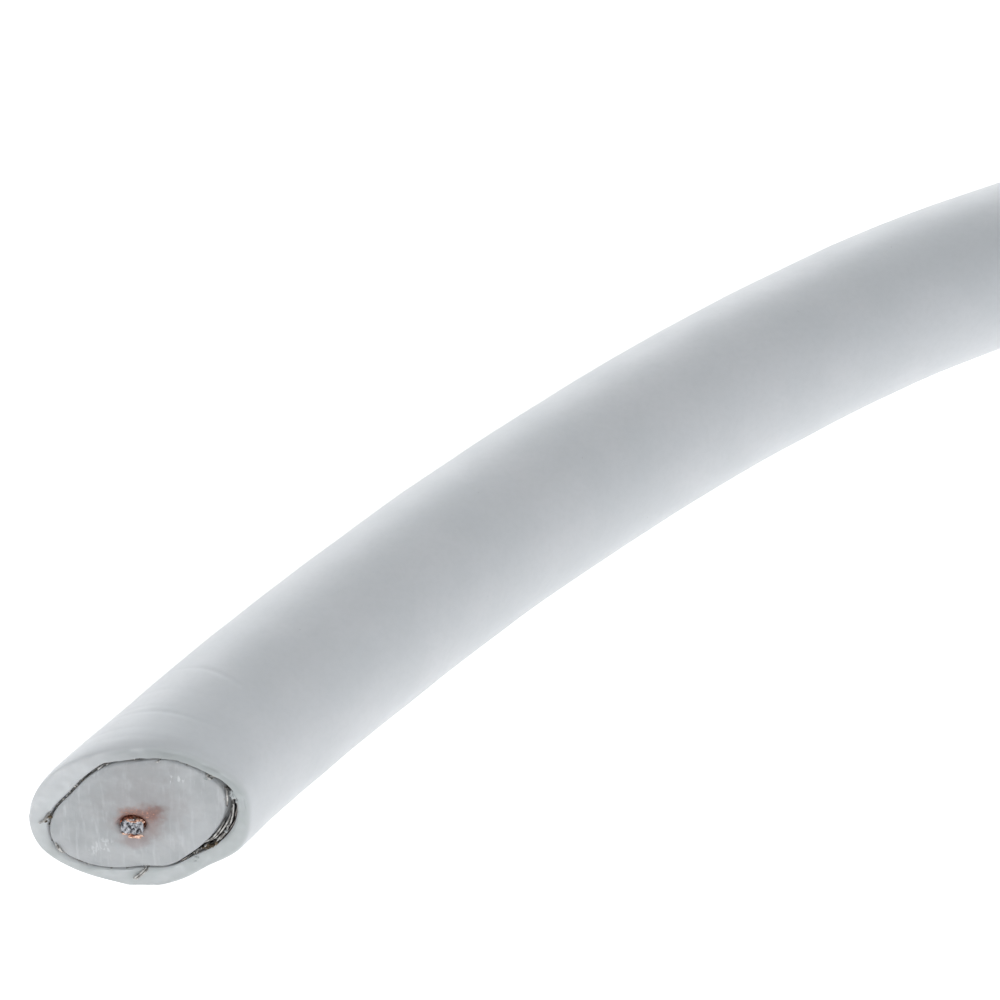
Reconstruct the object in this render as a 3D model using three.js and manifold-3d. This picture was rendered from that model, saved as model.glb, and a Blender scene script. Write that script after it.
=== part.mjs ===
// A coil of white coaxial cable. It lies flat on three cable ties, and its free end, cut slantwise, leads out
// along the floor. Millimetres, +Z up.
// The part is laid out round the coil's axis, with the floor at height 0, and moved at the end so that its
// origin is at the middle of its lowest level.
import * as THREE from "three";
import { mergeVertices } from "three/addons/utils/BufferGeometryUtils.js";
import Module from "manifold-3d";

const wasm = await Module();
wasm.setup();

// The cable's section, from its middle outwards
const conductorDiameter = 0.72;
const dielectricDiameter = 4.8;
const shieldThickness = 0.1;
const jacketWall = 0.5;
const layerGap = 0.05;

// The coil
const cableLength = 10000;
const turnsInRow = [6, 7, 6, 5, 4]; // from the floor up, each row half a turn to the side of the one below
const turnGap = 0.2;
const grooveFill = 1.25; // the radius of the filling in the grooves between turns
const neighbourReach = 1.25; // how many pitches apart two turns are at most with a groove between them
const innerEndLength = 9; // of the cable's inner end, behind the middle of the first tie
const crossingStart = 0.81; // where the turns cross over to their next places, as shares of the way round
const crossingEnd = 0.965;

// The cable ties
const tieCount = 3;
const tieThickness = 1.1;
const tieWidth = 3.6;
const tieGap = 0.3;
const tieHeadLength = 5.2;
const tieHeadWidth = 5.4;
const tieHeadHeight = 4.2;
const tieTailLength = 2.4;

// The free end. It leaves the coil at the first tie, beside the outermost turn of the lowest row.
const leavingHeading = THREE.MathUtils.degToRad(22); // of the cable as it runs into the coil, from +X
const hiddenStart = 3; // length of the free end behind the middle of the first tie
const settlingLength = 36; // over which it comes down from the coil's level to the floor
const looseRoute = [
  [0, 0],
  [-5.8, -2.4],
  [-11.5, -4.7],
  [-17.2, -7.2],
  [-22.9, -9.6],
  [-28.5, -12.2],
  [-34.2, -14.8],
  [-39.7, -17.5],
  [-45.3, -20.3],
  [-50.7, -23.2],
  [-56.1, -26.2],
  [-59.1, -28.0],
  [-63.7, -31.5],
  [-68.1, -35.3],
  [-72.2, -39.4],
  [-76.2, -43.6],
  [-79.9, -48.1],
  [-83.5, -52.6],
  [-86.8, -57.4],
]; // from where it leaves the coil to the middle of its cut face
const cutBearing = THREE.MathUtils.degToRad(-91); // the way the cut face looks, seen from above
const cutTilt = THREE.MathUtils.degToRad(1.1); // and how far up it looks

// Fineness of the facets
const sidesOfCable = 12;
const sidesOfConductor = 8;
const stepsOfFreeEnd = 26;
const stepsOfRing = 48;
const stepsOfSection = 96;
const sidesOfTieCorner = 16;
const endStep = 0.0004; // share of the way round in which the solid steps down at an end of the wound cable

// Sizes that follow
const dielectricRadius = dielectricDiameter / 2;
const shieldInnerRadius = dielectricRadius + layerGap;
const shieldOuterRadius = shieldInnerRadius + shieldThickness;
const jacketInnerRadius = shieldOuterRadius + layerGap;
const cableRadius = jacketInnerRadius + jacketWall;
const conductorRadius = conductorDiameter / 2;
const wireHoleRadius = conductorRadius + layerGap;
const turnPitch = 2 * cableRadius + turnGap;
const rowPitch = turnPitch * Math.sin(Math.PI / 3);
const lowestTurnHeight = tieThickness + tieGap + cableRadius;
const turnCount = turnsInRow.reduce((sum, count) => sum + count, 0);
const looseLength = routeLength(looseRoute);
const coilRadius = (cableLength - looseLength) / (2 * Math.PI * turnCount);
const leavingRadius = coilRadius + ((turnsInRow[0] + 1) / 2) * turnPitch;
const leavingAngle = leavingHeading + Math.PI / 2;
const leavingPoint = new THREE.Vector2(leavingRadius, 0).rotateAround(new THREE.Vector2(), leavingAngle);
const looseEndGap = 0.4; // between the wound cable and the start of the free end, under the first tie
const woundEnd = 1 - (hiddenStart + looseEndGap) / (2 * Math.PI * leavingRadius);

const materials = {
  jacket: new THREE.MeshStandardMaterial({ color: 0xe4e7ea, roughness: 0.42, metalness: 0 }),
  shield: new THREE.MeshStandardMaterial({ color: 0x9a9a9c, roughness: 0.35, metalness: 1 }),
  dielectric: new THREE.MeshStandardMaterial({ color: 0xdadde0, roughness: 0.5, metalness: 0 }),
  conductor: new THREE.MeshStandardMaterial({ color: 0xb87a5a, roughness: 0.35, metalness: 1 }),
  tie: new THREE.MeshStandardMaterial({ color: 0xe9e9e6, roughness: 0.5, metalness: 0 }),
};

function routeLength(route) {
  let length = 0;
  for (let i = 1; i < route.length; i++) {
    length += Math.hypot(route[i][0] - route[i - 1][0], route[i][1] - route[i - 1][1]);
  }
  return length;
}

// The middle of one turn in the coil's section: across from the coil's mean radius, and up from the floor
function turnPlace(row, index) {
  const across = (index - (turnsInRow[row] - 1) / 2) * turnPitch;
  return new THREE.Vector2(across, lowestTurnHeight + row * rowPitch);
}

// The turns' places in the order they are wound: the rows from the top down, the first outwards and the next
// inwards. The last place is where the free end leaves.
function windingPlaces() {
  const places = [];
  const top = turnsInRow.length - 1;
  for (let row = top; row >= 0; row--) {
    const line = Array.from({ length: turnsInRow[row] }, (_, i) => turnPlace(row, i));
    places.push(...((top - row) % 2 === 0 ? line : line.reverse()));
  }
  places.push(new THREE.Vector2(leavingRadius - coilRadius, lowestTurnHeight));
  return places;
}

// The turns' places at a share of the way round from the first tie. Before a round ends, every turn crosses over
// to its next place, and rides up on the row below as it does.
function turnsAt(share) {
  const places = windingPlaces();
  const shift = THREE.MathUtils.smoothstep(share, crossingStart, crossingEnd);
  const lift = 4 * shift * (1 - shift) * (turnPitch - rowPitch);
  const turns = [];
  for (let i = 0; i < turnCount; i++) {
    const turn = places[i].clone().lerp(places[i + 1], shift);
    turn.y += (lift * (turn.y - lowestTurnHeight)) / rowPitch;
    turns.push(turn);
  }
  if (share >= woundEnd) turns.pop();
  if (share >= innerEndStart()) turns.push(places[0]);
  return turns;
}

function innerEndStart() {
  const radius = coilRadius + windingPlaces()[0].x;
  return 1 - innerEndLength / (2 * Math.PI * radius);
}

// The coil's section: the farthest surface in each direction from its middle, with the grooves partly filled
function coilSection(turns) {
  const centre = new THREE.Vector2(0, lowestTurnHeight + ((turnsInRow.length - 1) / 2) * rowPitch);
  const discs = turns.map((middle) => ({ middle, radius: cableRadius }));
  turns.forEach((turn, i) => {
    for (const other of turns.slice(i + 1)) {
      if (turn.distanceTo(other) > neighbourReach * turnPitch) continue;
      discs.push({ middle: turn.clone().lerp(other, 0.5), radius: grooveFill });
    }
  });
  return circle(1, stepsOfSection).map((way) => {
    const reaches = discs.map(({ middle, radius }) => {
      const offset = middle.clone().sub(centre);
      const aside = offset.cross(way);
      return Math.abs(aside) < radius ? offset.dot(way) + Math.sqrt(radius ** 2 - aside ** 2) : 0;
    });
    return way.multiplyScalar(Math.max(...reaches)).add(centre);
  });
}

// Even steps round the ring, and a step down where the wound cable ends and up where its inner end starts
function ringShares() {
  const turn = 2 * Math.PI;
  const shares = Array.from({ length: stepsOfRing }, (_, i) => {
    const angle = (turn * i) / stepsOfRing - leavingAngle;
    return ((angle + turn) % turn) / turn;
  });
  for (const edge of [innerEndStart(), woundEnd]) shares.push(edge - endStep, edge);
  return shares.sort((a, b) => a - b);
}

function coilTurns() {
  const rings = ringShares().map((share) => {
    const axis = new THREE.Vector3(0, 0, 1);
    const angle = leavingAngle + 2 * Math.PI * share;
    return coilSection(turnsAt(share)).map((point) => {
      return new THREE.Vector3(coilRadius + point.x, 0, point.y).applyAxisAngle(axis, angle);
    });
  });
  const index = [];
  rings.forEach((_, i) => {
    for (let k = 0; k < stepsOfSection; k++) {
      const next = (k + 1) % stepsOfSection;
      const [here, there] = [i * stepsOfSection, ((i + 1) % rings.length) * stepsOfSection];
      index.push(here + k, there + k, there + next, here + k, there + next, here + next);
    }
  });
  const geometry = new THREE.BufferGeometry().setFromPoints(rings.flat());
  geometry.setIndex(index);
  geometry.computeVertexNormals();
  return geometry;
}

function convexHull(points) {
  const sorted = [...points].sort((a, b) => a.x - b.x || a.y - b.y);
  const half = (list) => {
    const hull = [];
    for (const point of list) {
      while (hull.length > 1) {
        const [a, b] = hull.slice(-2);
        const turn = (b.x - a.x) * (point.y - a.y) - (b.y - a.y) * (point.x - a.x);
        if (turn > 1e-9) break;
        hull.pop();
      }
      hull.push(point);
    }
    hull.pop();
    return hull;
  };
  return [...half(sorted), ...half(sorted.reverse())];
}

// A band's outline round some turns, at a distance from their middles
function bandOutline(turns, distance) {
  const points = turns.flatMap((turn) => circle(distance, sidesOfTieCorner).map((point) => point.add(turn)));
  return convexHull(points);
}

// A cable tie: a band round the section, with its head and its trimmed tail on the top
function cableTie(turns) {
  const inner = cableRadius + tieGap;
  const outer = inner + tieThickness;
  const band = new THREE.Shape(bandOutline(turns, outer));
  band.holes.push(new THREE.Path(bandOutline(turns, inner)));
  const bandSolid = extruded(band, tieWidth);

  const bandTop = Math.max(...turns.map((turn) => turn.y)) + inner;
  const headSolid = extruded(box2d(0, bandTop, tieHeadLength, tieHeadHeight), tieHeadWidth);
  const tailMiddle = (tieHeadLength + tieTailLength) / 2;
  const tailLevel = bandTop + tieHeadHeight / 2;
  const tail = box2d(tailMiddle - tieThickness / 2, tailLevel, tieTailLength + tieThickness, tieThickness);
  const tailSolid = extruded(tail, tieWidth);
  return geometryOf(bandSolid.add(headSolid).add(tailSolid));
}

// A rectangle standing on a level, centred across
function box2d(middle, level, width, height) {
  return new THREE.Shape([
    new THREE.Vector2(middle - width / 2, level),
    new THREE.Vector2(middle + width / 2, level),
    new THREE.Vector2(middle + width / 2, level + height),
    new THREE.Vector2(middle - width / 2, level + height),
  ]);
}

// A shape drawn out to a depth, half of it to each side of the shape's plane
function extruded(shape, depth) {
  const geometry = new THREE.ExtrudeGeometry(shape, { depth, bevelEnabled: false });
  return solidOf(geometry.translate(0, 0, -depth / 2));
}

function circle(radius, sides) {
  return Array.from({ length: sides }, (_, i) => {
    const angle = (2 * Math.PI * i) / sides;
    return new THREE.Vector2(Math.cos(angle), Math.sin(angle)).multiplyScalar(radius);
  });
}

function solidOf(geometry) {
  const bare = geometry.clone();
  bare.deleteAttribute("normal");
  bare.deleteAttribute("uv");
  const merged = mergeVertices(bare, 1e-5);
  const vertProperties = new Float32Array(merged.attributes.position.array);
  const triVerts = new Uint32Array(merged.index.array);
  return new wasm.Manifold(new wasm.Mesh({ numProp: 3, vertProperties, triVerts }));
}

function geometryOf(solid) {
  const mesh = solid.getMesh();
  const geometry = new THREE.BufferGeometry();
  geometry.setAttribute("position", new THREE.BufferAttribute(new Float32Array(mesh.vertProperties), 3));
  geometry.setIndex(new THREE.BufferAttribute(new Uint32Array(mesh.triVerts), 1));
  geometry.computeVertexNormals();
  return geometry;
}

// The free end's middle line: from just behind the first tie, down to the floor, and past the cut
const leavingDirection = new THREE.Vector2(Math.cos(leavingHeading), Math.sin(leavingHeading));
const cutNormal = new THREE.Vector3(
  Math.cos(cutTilt) * Math.cos(cutBearing),
  Math.cos(cutTilt) * Math.sin(cutBearing),
  Math.sin(cutTilt),
);

function heightAt(distance) {
  const lift = lowestTurnHeight - cableRadius;
  return cableRadius + lift * (1 - THREE.MathUtils.smoothstep(distance, 0, settlingLength));
}

function floorPoint(x, y, distance) {
  return new THREE.Vector3(leavingPoint.x + x, leavingPoint.y + y, heightAt(distance));
}

const cutMiddle = floorPoint(...looseRoute.at(-1), looseLength);

function freeEndLine() {
  const start = leavingDirection.clone().multiplyScalar(hiddenStart);
  const points = [floorPoint(start.x, start.y, 0)];
  looseRoute.forEach(([x, y], i) => points.push(floorPoint(x, y, routeLength(looseRoute.slice(0, i + 1)))));
  const [last, beforeLast] = [points.at(-1), points.at(-2)];
  const overrun = last.clone().sub(beforeLast).setLength(2 * cableRadius);
  points.push(last.clone().add(overrun));
  return new THREE.CatmullRomCurve3(points);
}

const freeEnd = freeEndLine();

// One layer of the free end, cut off at the slanted face
function freeEndLayer(outerRadius, innerRadius, sides) {
  const shape = new THREE.Shape(circle(outerRadius, sides));
  if (innerRadius > 0) shape.holes.push(new THREE.Path(circle(innerRadius, sides)));
  const layer = new THREE.ExtrudeGeometry(shape, { steps: stepsOfFreeEnd, extrudePath: freeEnd });
  const size = 8 * cableRadius;
  const waste = new THREE.BoxGeometry(size, size, size);
  waste.applyQuaternion(new THREE.Quaternion().setFromUnitVectors(new THREE.Vector3(0, 0, 1), cutNormal));
  const middle = cutMiddle.clone().addScaledVector(cutNormal, size / 2);
  waste.translate(middle.x, middle.y, middle.z);
  return geometryOf(solidOf(layer).subtract(solidOf(waste)));
}

const part = new THREE.Group();

function add(name, geometry, material) {
  const mesh = new THREE.Mesh(geometry, material);
  mesh.name = name;
  part.add(mesh);
  return mesh;
}

add("coil_turns", coilTurns(), materials.jacket);

add("jacket", freeEndLayer(cableRadius, jacketInnerRadius, sidesOfCable), materials.jacket);
add("shield", freeEndLayer(shieldOuterRadius, shieldInnerRadius, sidesOfCable), materials.shield);
add("dielectric", freeEndLayer(dielectricRadius, wireHoleRadius, sidesOfCable), materials.dielectric);
add("centre_conductor", freeEndLayer(conductorRadius, 0, sidesOfConductor), materials.conductor);

// The first tie also holds the free end where it leaves the coil
for (let i = 0; i < tieCount; i++) {
  const turns = windingPlaces();
  if (i > 0) turns.pop();
  const tie = add(`cable_tie_${i + 1}`, cableTie(turns), materials.tie);
  const angle = leavingAngle + (2 * Math.PI * i) / tieCount;
  const outward = new THREE.Vector3(Math.cos(angle), Math.sin(angle), 0);
  const up = new THREE.Vector3(0, 0, 1);
  const along = new THREE.Vector3().crossVectors(outward, up);
  tie.quaternion.setFromRotationMatrix(new THREE.Matrix4().makeBasis(outward, up, along));
  tie.position.copy(outward).multiplyScalar(coilRadius);
}

// The origin goes to the middle of the lowest level
part.updateMatrixWorld(true);
const extent = new THREE.Box3().setFromObject(part, true);
const middle = extent.getCenter(new THREE.Vector3());
part.position.set(-middle.x, -middle.y, -extent.min.z);

export default part;
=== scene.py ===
import math

import bmesh
import bpy
import numpy as np
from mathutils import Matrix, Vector


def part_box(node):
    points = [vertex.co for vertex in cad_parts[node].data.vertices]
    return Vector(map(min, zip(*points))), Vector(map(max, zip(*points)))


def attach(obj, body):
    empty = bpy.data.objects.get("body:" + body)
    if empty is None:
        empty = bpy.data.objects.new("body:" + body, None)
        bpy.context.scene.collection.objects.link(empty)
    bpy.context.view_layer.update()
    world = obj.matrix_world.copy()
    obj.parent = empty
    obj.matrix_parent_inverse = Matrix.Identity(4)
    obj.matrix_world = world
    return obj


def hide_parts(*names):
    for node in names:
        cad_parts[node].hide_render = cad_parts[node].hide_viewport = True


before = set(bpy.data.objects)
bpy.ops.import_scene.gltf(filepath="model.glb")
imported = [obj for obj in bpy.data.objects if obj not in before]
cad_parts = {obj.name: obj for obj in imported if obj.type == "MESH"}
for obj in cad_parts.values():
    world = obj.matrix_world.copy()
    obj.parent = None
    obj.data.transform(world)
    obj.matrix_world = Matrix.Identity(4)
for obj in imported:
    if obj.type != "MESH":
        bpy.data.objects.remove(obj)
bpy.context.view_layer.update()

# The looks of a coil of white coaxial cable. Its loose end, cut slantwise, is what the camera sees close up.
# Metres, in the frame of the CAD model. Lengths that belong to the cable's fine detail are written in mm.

MM = 0.001

# The cable's section and the coil, as in the CAD model
conductor_radius = 0.36 * MM
cladding_thickness = 0.045 * MM
dielectric_radius = 2.4 * MM
jacket_inner_radius = 2.6 * MM
cable_radius = 3.1 * MM
cable_length = 10.0
turn_pitch = 6.4 * MM
turns_in_row = (6, 7, 6, 5, 4)
tie_thickness = 1.1 * MM
tie_width = 3.6 * MM
tie_gap = 0.3 * MM
tie_count = 3
head_length = 5.2 * MM
head_width = 5.4 * MM
head_height = 4.2 * MM
tail_length = 2.4 * MM

# The loose end's route, from where it leaves the coil to the middle of its cut face
leaving_heading = math.radians(22)
settling_length = 36 * MM
hidden_start = 0.6 * MM
loose_route = (
    (0, 0), (-5.8, -2.4), (-11.5, -4.7), (-17.2, -7.2), (-22.9, -9.6), (-28.5, -12.2), (-34.2, -14.8),
    (-39.7, -17.5), (-45.3, -20.3), (-50.7, -23.2), (-56.1, -26.2), (-59.1, -28.0), (-63.7, -31.5),
    (-68.1, -35.3), (-72.2, -39.4), (-76.2, -43.6), (-79.9, -48.1), (-83.5, -52.6), (-86.8, -57.4),
)
cut_bearing = math.radians(-91)
cut_tilt = math.radians(1.1)

coil_low, coil_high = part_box("coil_turns")
lowest_turn_height = tie_thickness + tie_gap + cable_radius
row_pitch = turn_pitch * math.sin(math.pi / 3)
widest_row = max(turns_in_row)
route_length = sum(math.dist(a, b) for a, b in zip(loose_route, loose_route[1:])) * MM
coil_radius = (cable_length - route_length) / (2 * math.pi * sum(turns_in_row))
coil_reach = coil_radius + (widest_row - 1) / 2 * turn_pitch + cable_radius
coil_axis = np.array([coil_high.x - coil_reach, coil_low.y + coil_reach, 0])
leaving_across = (turns_in_row[0] + 1) / 2 * turn_pitch
leaving_angle = leaving_heading + math.pi / 2

# The camera: a long lens looking down on the loose end
camera_elevation = math.radians(39)
camera_distance = 174 * MM
picture_side = 1000
focal_pixels = 4713.5
view_middle = (-74.5, -40.2)  # mm from where the cable leaves the coil
sensor_width = 36


def unit(vector):
    return vector / np.linalg.norm(vector, axis=-1, keepdims=True)


def outward(angle):
    return np.array([math.cos(angle), math.sin(angle), 0])


def smoothstep(value):
    value = np.clip(value, 0, 1)
    return value * value * (3 - 2 * value)


leaving_point = coil_axis + outward(leaving_angle) * (coil_radius + leaving_across)


def on_floor(x_mm, y_mm, height):
    return leaving_point + np.array([x_mm * MM, y_mm * MM, height])


def make_camera():
    target = on_floor(*view_middle, cable_radius)
    back = np.array([0, -math.cos(camera_elevation), math.sin(camera_elevation)])
    data = bpy.data.cameras.new("camera")
    data.sensor_width = sensor_width
    data.lens = focal_pixels / picture_side * sensor_width
    data.clip_start = 0.01
    data.clip_end = 10
    camera = bpy.data.objects.new("camera", data)
    camera.location = Vector(target + back * camera_distance)
    camera.rotation_euler = Vector(-back).to_track_quat("-Z", "Y").to_euler()
    bpy.context.scene.collection.objects.link(camera)
    bpy.context.scene.camera = camera


make_camera()


# Smooth lines and the frames along them

class Line:
    """A smooth line, sampled evenly, with a level side direction and an upward one at each sample."""

    def __init__(self, centres, step):
        self.step = step
        self.centres = centres
        self.along = unit(np.gradient(centres, axis=0))
        self.side = unit(np.cross([0.0, 0.0, 1.0], self.along))
        self.up = np.cross(self.along, self.side)
        self.origin = 0.0
        self.length = step * (len(centres) - 1)

    def at(self, distance):
        """Centre, along, side and up at distances from the line's origin."""
        place = (np.asarray(distance) + self.origin) / self.step
        low = np.clip(np.floor(place).astype(int), 0, len(self.centres) - 2)
        share = (place - low)[..., None]
        return [values[low] * (1 - share) + values[low + 1] * share
                for values in (self.centres, self.along, self.side, self.up)]


def spread_evenly(points, step):
    """Points along a polyline, a step apart."""
    reach = np.concatenate([[0], np.cumsum(np.linalg.norm(np.diff(points, axis=0), axis=1))])
    count = int(reach[-1] / step) + 1
    wanted = np.arange(count) * step
    return np.stack([np.interp(wanted, reach, points[:, axis]) for axis in range(3)], axis=1)


def spline(points, pieces):
    """A uniform cubic B-spline that starts and ends at the first and last of its points."""
    points = np.asarray(points, float)
    first, last = 2 * points[0] - points[1], 2 * points[-1] - points[-2]
    points = np.concatenate([[first], points, [last]])
    t = (np.arange(pieces) / pieces)[:, None]
    weights = ((1 - t) ** 3 / 6, (3 * t ** 3 - 6 * t ** 2 + 4) / 6,
               (-3 * t ** 3 + 3 * t ** 2 + 3 * t + 1) / 6, t ** 3 / 6)
    out = [sum(w * points[i + k] for k, w in enumerate(weights)) for i in range(len(points) - 3)]
    return np.concatenate(out + [points[-2:-1]])


def loose_height(distance):
    lift = lowest_turn_height - cable_radius
    return cable_radius + lift * (1 - smoothstep(distance / settling_length))


def loose_points():
    """The route's points in the frame, from the coil to the cut, with a hidden start and an overrun."""
    flat = np.array(loose_route, float) * MM
    reach = np.concatenate([[0], np.cumsum(np.linalg.norm(np.diff(flat, axis=0), axis=1))])
    points = [on_floor(x / MM, y / MM, loose_height(d)) for (x, y), d in zip(flat, reach)]
    start = points[0] + hidden_start * np.array([math.cos(leaving_heading), math.sin(leaving_heading), 0])
    overrun = points[-1] + 2 * cable_radius * unit(points[-1] - points[-2])
    return [start] + points + [overrun], reach[-1]


route_points, loose_length = loose_points()
cut_middle = route_points[-2]
cut_normal = np.array([
    math.cos(cut_tilt) * math.cos(cut_bearing),
    math.cos(cut_tilt) * math.sin(cut_bearing),
    math.sin(cut_tilt),
])
face_right = np.array([-math.sin(cut_bearing), math.cos(cut_bearing), 0])
face_up = np.cross(face_right, -cut_normal)
face_ways = np.stack([face_right, face_up, cut_normal])

line_step = 0.1 * MM
loose_line = Line(spread_evenly(spline(route_points[::-1], 40), line_step), line_step)
nearest = np.argmin(np.linalg.norm(loose_line.centres - cut_middle, axis=1))
loose_line.origin = nearest * line_step
cut_middle = loose_line.centres[nearest]
loose_reach = loose_line.length - loose_line.origin


# Mesh building

def make_object(name, vertices, faces, material, smooth_angle):
    """A piece that rides on the part, with sharp edges where faces meet at over the angle, in degrees."""
    mesh = bpy.data.meshes.new(name)
    mesh.from_pydata(np.asarray(vertices).tolist(), [], faces if isinstance(faces, list) else faces.tolist())
    mesh.validate()
    mesh.shade_smooth()
    mesh.set_sharp_from_angle(angle=math.radians(smooth_angle))
    mesh.materials.append(material)
    piece = bpy.data.objects.new(name, mesh)
    bpy.context.scene.collection.objects.link(piece)
    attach(piece, "root")
    return piece


def grid_faces(rows, columns, close_rows=False):
    """Four-sided faces of a grid whose columns close on themselves, and its rows too if asked."""
    row_count = rows if close_rows else rows - 1
    i, j = np.meshgrid(np.arange(row_count), np.arange(columns), indexing="ij")
    below, right = (i + 1) % rows, (j + 1) % columns
    quads = [i * columns + j, i * columns + right, below * columns + right, below * columns + j]
    return np.stack(quads, axis=-1).reshape(-1, 4)


def waves(points, size, seed, count=14):
    """Smooth noise from -1 to 1 or so: plane waves of about a size, in directions drawn from a seed."""
    draw = np.random.RandomState(seed)
    ways = unit(draw.normal(size=(count, points.shape[-1])))
    lengths = size * draw.uniform(0.7, 1.6, count)
    phases = draw.uniform(0, 2 * math.pi, count)
    return np.sin(points @ (ways / lengths[:, None]).T * 2 * math.pi + phases).sum(-1) / math.sqrt(count)


def round_values(values, angles):
    """A smooth closed curve through values given at even steps round a circle."""
    values = np.asarray(values, float)
    place = angles / (2 * math.pi) * len(values) % len(values)
    low = np.floor(place).astype(int)
    t = place - low
    a, b, c, d = (values[(low + k) % len(values)] for k in (-1, 0, 1, 2))
    return b + 0.5 * t * (c - a + t * (2 * a - 5 * b + 4 * c - d + t * (3 * (b - c) + d - a)))


# The cut end. Each list goes anticlockwise from the right of the face, in steps of a sixteenth of a turn.
# The rims are how far each layer stands out of round where it is cut, as a share of its radius.
jacket_rim = (0.02, 0.07, 0.05, 0.06, 0.045, 0.03, 0.028, 0.026,
              0.035, 0.05, 0.015, 0.005, 0.042, -0.002, -0.05, 0.025)
dielectric_rim = (-0.016, 0.116, 0.126, 0.122, 0.038, 0.017, -0.056, -0.084,
                  0.04, 0.155, 0.118, 0.028, -0.07, -0.034, -0.101, -0.101)
gap_widths_mm = (0.46, 0.30, 0.13, 0.14, 0.17, 0.15, 0.09, 0.09,
                 0.12, 0.09, 0.10, 0.06, 0.10, 0.08, 0.16, 0.40)
shear_length = 9 * MM  # over which the rings turn from the cut plane to square
squash_length = 3.2 * MM  # over which the squashed section becomes round again
first_step = 0.04 * MM  # between the first two rings behind the cut
step_growth = 1.12  # how much longer each next step is
fine_step = 0.07 * MM  # longest step where the jacket is creased
widest_step = 1.2 * MM  # and further on


def round_angles(count):
    return np.arange(count) / count * 2 * math.pi


around = round_angles(192)


class End:
    """A cut cable end: the line it lies along, the plane of the cut, and how the cutter squashed it."""

    def __init__(self, line, normal, squash, wire_offset):
        self.line, self.normal, self.squash, self.wire_offset = line, normal, squash, wire_offset
        self.middle, self.along, self.side, self.up = line.at(0.0)
        level = unit(np.cross([0.0, 0.0, 1.0], normal))
        plane = self.ring_on_plane(around, cable_radius) - self.middle
        self.face_angle = np.arctan2(plane @ np.cross(normal, level), plane @ level)
        self.slant = np.linalg.norm(plane, axis=1) / cable_radius

    def ring_on_plane(self, angles, reach):
        ways = np.outer(np.cos(angles), self.side) + np.outer(np.sin(angles), self.up)
        slide = -reach * (ways @ self.normal) / (self.along @ self.normal)
        return self.middle + np.asarray(reach)[..., None] * ways + slide[:, None] * self.along

    def ring(self, reach, distance, angles=around):
        """A ring of points at reaches from the line, at a distance behind the cut."""
        ways = np.outer(np.cos(angles), self.side) + np.outer(np.sin(angles), self.up)
        slide = -reach * (ways @ self.normal) / (self.along @ self.normal)
        shear = np.clip(1 - distance / shear_length, 0, 1) ** 2
        centre, _, side, up = self.line.at(distance + shear * slide)
        ways = np.cos(angles)[:, None] * side + np.sin(angles)[:, None] * up
        return centre + np.asarray(reach)[..., None] * ways

    def fade(self, distance):
        return self.squash * math.exp(-(distance / squash_length) ** 2)

    def jacket_reach(self, distance):
        return cable_radius * (1 + round_values(jacket_rim, self.face_angle) * self.fade(distance))

    def dielectric_reach(self, distance):
        return dielectric_radius * (1 + round_values(dielectric_rim, self.face_angle) * self.fade(distance))

    def bore_reach(self, distance):
        """The jacket's inside: a gap round the dielectric at the cut, and its own radius further in."""
        gap = round_values(gap_widths_mm, self.face_angle) * MM / self.slant
        fade = self.fade(distance)
        return jacket_inner_radius * (1 - fade) + (self.dielectric_reach(distance) + gap) * fade


def ring_distances(far, first, fine_length=0.0):
    """Distances from the cut to the far end: small steps over a fine length, and then growing ones."""
    out, step = [0.0], first
    while out[-1] + step < far:
        out.append(out[-1] + step)
        step = min(step * step_growth, fine_step if out[-1] < fine_length else widest_step)
    return out[:-1] + [far]


def outside_out(vertices, faces):
    """The faces, turned over if they look inwards."""
    a, b, c = (vertices[faces[:, k]] for k in range(3))
    d = vertices[faces[:, 3]]
    volume = np.einsum("ij,ij->i", a, np.cross(b, c) + np.cross(c, d)).sum()
    return faces if volume > 0 else faces[:, ::-1]


def sleeve(name, end, outer, inner, far, material, bevel, face_rings, recess=0.0, relief=None,
           inner_offset=np.zeros(3), fine_length=0.0, stretch=1.0):
    """A layer of the cable: a tube whose outer and inner reaches change with the distance behind the cut.

    The outer edge is rounded off by the bevel's depth, over a length that is stretch times as much.
    """
    distances = ring_distances(far, first_step, fine_length)
    bevel = np.broadcast_to(bevel, around.shape)
    inner_bevel = np.clip(bevel / 2, 0.005 * MM, 0.13 * MM)
    rows = []
    for d in reversed(distances):
        round_off = bevel * (1 - np.sqrt(1 - np.clip(1 - d / (bevel * stretch), 0, 1) ** 2))
        rows.append(end.ring(outer(d) - round_off, d + recess))
    for k in range(1, face_rings):
        share = k / face_rings
        reach = (outer(0) - bevel) * (1 - share) + (inner(0) + inner_bevel) * share
        row = end.ring(reach, recess) + inner_offset * share
        if relief is not None:
            row = row + (relief(row, share) * MM)[:, None] * end.normal
        rows.append(row)
    for d in distances:
        round_off = inner_bevel * np.clip(1 - d / inner_bevel, 0, 1)
        fade = math.exp(-(d / squash_length) ** 2)
        rows.append(end.ring(inner(d) + round_off, d + recess) + inner_offset * fade)
    vertices = np.concatenate(rows)
    faces = outside_out(vertices, grid_faces(len(rows), len(around), close_rows=True))
    return make_object(name, vertices, faces, material, smooth_angle=50)


def rod(name, rings, material, smooth_angle=50):
    """A solid closed by a point at each end, from rings of points."""
    count = len(rings[0])
    vertices = np.concatenate(rings + [rings[0].mean(0)[None], rings[-1].mean(0)[None]])
    faces = outside_out(vertices, grid_faces(len(rings), count)).tolist()
    turned = faces[0][0] != 0
    first, last, base = len(vertices) - 2, len(vertices) - 1, (len(rings) - 1) * count
    for j in range(count):
        k = (j + 1) % count
        faces.append([first, k, j] if not turned else [first, j, k])
        faces.append([last, base + j, base + k] if not turned else [last, base + k, base + j])
    return make_object(name, vertices, faces, material, smooth_angle)


# Materials

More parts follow.
